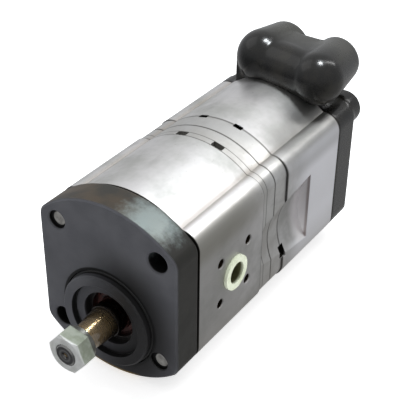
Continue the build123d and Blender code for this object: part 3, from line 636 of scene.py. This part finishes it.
# %% Plug
def plug_finish():
    """Pale plastic with painted shade down in the recess, where little light gets."""
    material, shader, at = new_finish("plug_plastic", 0.0, 0.38)
    x, y, z = split(at)
    tone = clouds(at, 7 * MM, 3.0, 0.6).span(0.35, 0.68)
    tone = tone.mix(colour(0.66, 0.7, 0.55), colour(0.54, 0.58, 0.42))
    # Painted shade down in the recess of the plug.
    painted_recess_shade = reach(y - port_place.y, z - port_place.z).ramp(6.5, 6.1)
    painted_recess_shade = painted_recess_shade * size_of(x).ramp(42.4, 40.6)
    feed(shader, "Base Color", painted_recess_shade.mix(tone, colour(0.07, 0.07, 0.032)))
    feed(shader, "Normal", bumped(at, clouds(at, 0.8 * MM), 0.02 * MM, 0.5))
    return material


# %% Bolt ends
def bolt_end_finish():
    """Zinc whose front end sits in the dark of its hole, with a crescent of shadow round it."""
    material, shader, at = new_finish("bolt_zinc", 0.8, 0.36)
    y = split(at)[1]
    tone = clouds(at, 2.5 * MM, 3.0, 0.6).span(0.35, 0.7)
    tone = tone.mix(colour(0.5, 0.49, 0.46), colour(0.3, 0.29, 0.27))
    lit = None
    for x_hole, z_hole in bolt_axes:
        disc = distance_from(at, z_hole + 0.6 * MM, x_hole + 0.9 * MM).ramp(3.9, 3.2)
        lit = disc if lit is None else either(lit, disc)
    shadow = (1.0 - lit) * y.ramp(6, 5)
    feed(shader, "Base Color", shadow.mix(tone, colour(0.008, 0.008, 0.008)))
    feed(shader, "Normal", bumped(at, clouds(at, 0.5 * MM), 0.02 * MM, 0.5))
    return material


# %% Nut
def nut_finish():
    """Pale zinc, with painted light on the front face and painted shade on the flats round it."""
    material, shader, at = new_finish("nut_zinc", 0.75, 0.34)
    y = split(at)[1]
    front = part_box("shaft_nut")[0].y
    tone = clouds(at, 5 * MM, 3.0, 0.6).span(0.35, 0.68)
    # The flats get painted shade and the front face painted light.
    shaded_flats = tone.mix(colour(0.42, 0.45, 0.38), colour(0.3, 0.33, 0.26))
    face = tone.mix(colour(0.78, 0.79, 0.77), colour(0.66, 0.67, 0.64))
    behind = y.span(front + 0.7 * MM, front + 1.6 * MM)
    feed(shader, "Base Color", behind.mix(face, shaded_flats))
    feed(shader, "Normal", bumped(at, clouds(at, 0.5 * MM), 0.02 * MM, 0.5))
    return material


plug_plastic = plug_finish()
bolt_zinc = bolt_end_finish()
nut_zinc = nut_finish()
print("small parts:", plug_plastic.name, bolt_zinc.name, nut_zinc.name)

# %% [markdown]
# ## Giving each solid its finish
#
# The record already says which finish each solid has. The plates, the bearing blocks and the
# gears of the upper axis get their own version of it, and so do the small steel parts, the
# tie bolts and the nut.

# %% Hand out the finishes
finish_of = {
    "cover_paint": front_paint,
    "rear_cover_paint": casting_paint,
    "aluminium": body_metal,
    "steel": gear_steel,
    "oiled_steel": shaft_steel,
    "zinc": zinc,
    "bronze": bronze,
    "rubber": rubber,
    "seal_rubber": lip_rubber,
    "plug": plug_plastic,
}


def finish_for(node, slot):
    """The finish of one solid: its own if it has one, or else that of its slot."""
    if node in ("spacer", "front_plate", "rear_plate"):
        return plate_metal
    if slot == "aluminium" and "block" in node:
        return block_metal
    if "driven_gear" in node:
        return driven_steel
    if "_pin_" in node or node in ("seal_circlip", "shaft_key"):
        return pin_steel
    if node == "lock_washer":
        return washer_steel
    if "tie_bolt" in node:
        return bolt_zinc
    if node == "shaft_nut":
        return nut_zinc
    return finish_of[slot]


slots = {part["node"]: part["material_slot"] for part in frame["record"]["subparts"]}
for node, solid in frame["nodes"].items():
    solid.data.materials.clear()
    solid.data.materials.append(finish_for(node, slots[node]))
print("finishes given to", len(frame["nodes"]), "solids")

# %% [markdown]
# ## Pieces that are made here
#
# The casting and the threads are new meshes. Each one stays at the origin with its place in
# its points, as the solids do, and it is told which body it rides on, so that it follows when
# the pump is posed. A piece that stands for a solid also hides that solid.


# %% Place a piece
def place_piece(name, build, material, body, stands_for=None):
    """Makes a mesh object from a bmesh, gives it a finish and lets it ride on a body."""
    mesh = bpy.data.meshes.new(name)
    build.to_mesh(mesh)
    build.free()
    mesh.materials.append(material)
    mesh.shade_smooth()
    piece = bpy.data.objects.new(name, mesh)
    bpy.context.scene.collection.objects.link(piece)
    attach(piece, body)
    if stands_for:
        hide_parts(stands_for)
    print(name, len(mesh.polygons), "faces")
    return piece


# %% [markdown]
# ## The cast blends of the rear cover
#
# On the real cover the two domes, the web between them and the plate flow into one another,
# because molten iron and its mould have no sharp inner corners. The solid has sharp ones. Two
# simple shapes, a bar from dome to dome and a block behind it, first fill the saddle. A voxel
# remesh then turns solid and filler into one even net of small squares. Smoothing that net
# fills its inner corners but also eats the outer ones, so only the growth is kept: each point
# moves out along its own normal as far as the smoothed net lies outside, and never in.

# %% Fill the saddle between the domes
left_dome = Vector((-14.0, 163.2, 74.0)) * MM
right_dome = Vector((25.0, 156.4, 74.0)) * MM
fill_radius = 13.4 * MM
fill_drop = 0.8 * MM
block_centre = Vector((8.0, 169.5, 73.5)) * MM
block_size = (34 * MM, 18 * MM, 25 * MM, 1.0)

copy = bmesh.new()
copy.from_mesh(frame["nodes"]["rear_cover"].data)
bmesh.ops.remove_doubles(copy, verts=copy.verts, dist=0.001 * MM)
saddle = right_dome - left_dome
lie = saddle.to_track_quat("Z", "Y").to_matrix().to_4x4()
bmesh.ops.create_cone(
    copy,
    cap_ends=True,
    segments=48,
    radius1=fill_radius,
    radius2=fill_radius,
    depth=saddle.length,
    matrix=Matrix.Translation((left_dome + right_dome) / 2 - Vector((0, 0, fill_drop))) @ lie,
)
block_place = Matrix.Translation(block_centre) @ Matrix.Diagonal(block_size)
bmesh.ops.create_cube(copy, size=1.0, matrix=block_place)
print("filler bar", round(saddle.length / MM, 1), "mm long")

# %% Remesh the rear cover
net_step = 0.75 * MM
rough = bpy.data.meshes.new("rear_cover_copy")
copy.to_mesh(rough)
copy.free()
holder = bpy.data.objects.new("rear_cover_copy", rough)
bpy.context.scene.collection.objects.link(holder)
remesh = holder.modifiers.new("even_net", "REMESH")
remesh.mode = "VOXEL"
remesh.voxel_size = net_step
remeshed = holder.evaluated_get(bpy.context.evaluated_depsgraph_get())
net = bpy.data.meshes.new_from_object(remeshed)
bpy.data.objects.remove(holder)
bpy.data.meshes.remove(rough)
print("net:", len(net.vertices), "points")

# %% [markdown]
# Bolt seats, ports and the machined plate must keep their exact size, so a test says which
# points may grow: only the cast skin behind the plate and above the bodies.


# %% Where the casting may grow
def relax(build, points, passes):
    """Moves each point halfway to the middle of its neighbours, again and again."""
    for turn in range(passes):
        bmesh.ops.smooth_vert(
            build, verts=points, factor=0.5, use_axis_x=True, use_axis_y=True, use_axis_z=True
        )


def aside(place, x, z):
    """Distance of a point from a line that runs along the shaft's direction."""
    return Vector((place.x - x, 0, place.z - z)).length


seat_radius = 10.6 * MM
hole_radius = 6.4 * MM
domes_front = 156 * MM
body_top = 52 * MM
plate_back = cover_joint + 18.5 * MM
print("back of the plate at", round(plate_back / MM, 1), "mm")


def may_grow(place):
    """Only the outer cast faces grow: not the plate's rim, and nothing inside a hole."""
    for port in rear_ports:
        x, y, z = port["pos_m"]
        if aside(place, x, z) < seat_radius and place.y > domes_front:
            return False
    for x, z in bolt_axes:
        is_seat = x * (z - middle_height) < 0
        if aside(place, x, z) < (seat_radius if is_seat else hole_radius):
            return False
    return place.y > plate_back - 0.4 * MM or place.z > body_top


# %% Grow the blends
casting = bmesh.new()
casting.from_mesh(net)
bpy.data.meshes.remove(net)
relax(casting, casting.verts, 3)
casting.normal_update()
skin = [vert for vert in casting.verts if may_grow(vert.co)]
start = {vert: vert.co.copy() for vert in skin}
way = {vert: vert.normal.copy() for vert in skin}
relax(casting, skin, 150)
grown = 0.0
for vert in skin:
    growth = max(0.0, (vert.co - start[vert]).dot(way[vert]))
    grown = max(grown, growth)
    vert.co = start[vert] + way[vert] * growth
relax(casting, skin, 4)
print("deepest blend:", round(grown / MM, 2), "mm on", len(skin), "points")
place_piece(
    "cast_rear_cover", casting, casting_paint, "housing", "rear_cover"
)

# %% [markdown]
# ## Threads in the two rear ports
#
# A screw thread is a small profile wound round a bore. The profile here is a flat-topped ridge
# of four points, spun step by step while it also moves along the axis by one pitch a turn. It
# starts just inside the mouth, as a tap leaves it.

# %% Port threads
pitch = 1.5 * MM
thread_depth = 0.8 * MM
thread_turns = 8
steps_a_turn = 40
rear_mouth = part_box("rear_cover")[1].y
thread_back = rear_mouth - 1.4 * MM
thread_front = thread_back - (thread_turns + 1) * pitch


def thread_ridge(centre, wall):
    """A ridge that winds inwards from the wall of a bore along +Y."""
    build = bmesh.new()
    foot, crest = wall + 0.05 * MM, wall - thread_depth
    section = [(foot, 0.04), (crest, 0.38), (crest, 0.52), (foot, 0.86)]
    corners = [
        build.verts.new((centre.x + radius, thread_front + pitch * part, centre.z))
        for radius, part in section
    ]
    build.faces.new(corners)
    bmesh.ops.spin(
        build,
        geom=build.verts[:] + build.edges[:] + build.faces[:],
        cent=(centre.x, thread_front, centre.z),
        axis=(0, 1, 0),
        dvec=(0, pitch / steps_a_turn, 0),
        angle=2 * pi * thread_turns,
        steps=steps_a_turn * thread_turns,
    )
    bmesh.ops.holes_fill(build, edges=build.edges, sides=4)
    bmesh.ops.remove_doubles(build, verts=build.verts, dist=0.0005 * MM)
    bmesh.ops.recalc_face_normals(build, faces=build.faces)
    return build


for name, port in zip(("left_port_thread", "right_port_thread"), rear_ports):
    ridge = thread_ridge(Vector(port["pos_m"]), port["dims"]["r_mm"] * MM)
    place_piece(name, ridge, casting_paint, "housing")

# %% [markdown]
# ## Floor, light and camera
#
# The photograph was taken on a white sweep in soft light. The floor is a pale plane just under
# the pump. It glows a little, so that it stays white, and the metal doesn't mirror it. The sky
# is bright above, dimmer towards the horizon and darkest low in front, which keeps the dark
# front cover dark. Three lamps add to it: a small one overhead makes the highlights on the
# domes, a long strip behind draws the bright lines along the edges, and a wide one on the left
# fills the shadows. The camera's place and lens were worked out from the bolt square, the
# pilot and the outline of the pump.

# %% Floor
floor_gap = 0.2 * MM
floor_build = bmesh.new()
bmesh.ops.create_grid(floor_build, x_segments=1, y_segments=1, size=4.0)
bmesh.ops.translate(floor_build, verts=floor_build.verts, vec=(0, 0, cad_low.z - floor_gap))
floor_mesh = bpy.data.meshes.new("floor")
floor_build.to_mesh(floor_mesh)
floor_build.free()
floor_paper, floor_shader, floor_at = new_finish("floor_paper", 0.0, 0.8)
floor_shader.inputs["Emission Color"].default_value = colour(1.0, 1.0, 1.0)
floor_shader.inputs["Emission Strength"].default_value = 0.6
paper_tone = clouds(floor_at, 0.5, 2.0)
paper_tone = paper_tone.mix(colour(0.86, 0.86, 0.87), colour(0.89, 0.89, 0.89))
feed(floor_shader, "Base Color", paper_tone)
floor_mesh.materials.append(floor_paper)
floor = bpy.data.objects.new("floor", floor_mesh)
bpy.context.scene.collection.objects.link(floor)
floor.visible_glossy = False
print("floor at", round((cad_low.z - floor_gap) / MM, 1), "mm")

# %% Sky
world = bpy.data.worlds.new("studio")
bpy.context.scene.world = world
world.use_nodes = True
background = world.node_tree.nodes["Background"]
way_out = Wire(world.node_tree).node("ShaderNodeTexCoord", {}, {}, "Generated")
height = way_out.node("ShaderNodeSeparateXYZ", {}, {"Vector": way_out}, "Z")
depth = way_out.node("ShaderNodeSeparateXYZ", {}, {"Vector": way_out}, "Y")
lower = height.span(-0.75, 0.0).mix(colour(0.5, 0.5, 0.5), colour(0.62, 0.63, 0.65))
low_in_front = depth.span(0.1, -0.6) * height.span(0.2, -0.2)
lower = (low_in_front * 0.7).mix(lower, colour(0.14, 0.145, 0.16))
shade = height.span(0.0, 0.85).mix(lower, colour(0.9, 0.9, 0.9))
world.node_tree.links.new(shade.socket, background.inputs["Color"])
background.inputs["Strength"].default_value = 0.85
print("sky strength", round(background.inputs["Strength"].default_value, 2))

# %% Lamps
lamp_target = Vector((0.0, 0.09, 0.02))


def softbox(name, place, width, height, watts, tint=(1.0, 1.0, 1.0)):
    """A flat lamp that looks at the middle of the pump."""
    light = bpy.data.lights.new(name, "AREA")
    light.shape = "RECTANGLE"
    light.size = width
    light.size_y = height
    light.energy = watts
    light.color = tint
    lamp = bpy.data.objects.new(name, light)
    lamp.location = place
    lamp.rotation_euler = (lamp_target - Vector(place)).to_track_quat("-Z", "Y").to_euler()
    bpy.context.scene.collection.objects.link(lamp)
    print(name, watts, "W")


softbox("overhead_softbox", (0.05, 0.2, 0.9), 0.16, 0.18, 6.0, (0.93, 0.97, 1.0))
softbox("strip_behind", (0.3, 0.62, 0.75), 0.1, 0.6, 1.7)
softbox("left_softbox", (-0.9, -0.1, 0.9), 0.9, 0.9, 1.5)

# %% Camera
yaw, pitch_down, roll = radians(33.871), radians(33.815), radians(0.687)
camera_place = Vector((252.898, -297.736, 330.425)) * MM
focal_pixels = 1028.293
picture_pixels = 400
forward = Vector((-sin(yaw) * cos(pitch_down), cos(yaw) * cos(pitch_down), -sin(pitch_down)))
level = forward.cross(Vector((0, 0, 1))).normalized()
upright = level.cross(forward)
right = level * cos(roll) + upright * sin(roll)
up = upright * cos(roll) - level * sin(roll)
lens = bpy.data.cameras.new("photo_camera")
lens.sensor_width = 36.0
lens.lens = focal_pixels / picture_pixels * lens.sensor_width
lens.clip_start = 0.01
camera = bpy.data.objects.new("photo_camera", lens)
turn = Matrix((right, up, -forward)).transposed().to_4x4()
camera.matrix_world = Matrix.Translation(camera_place) @ turn
bpy.context.scene.collection.objects.link(camera)
bpy.context.scene.camera = camera
bpy.context.scene.view_settings.view_transform = "Standard"
print("lens", round(lens.lens, 1), "mm")
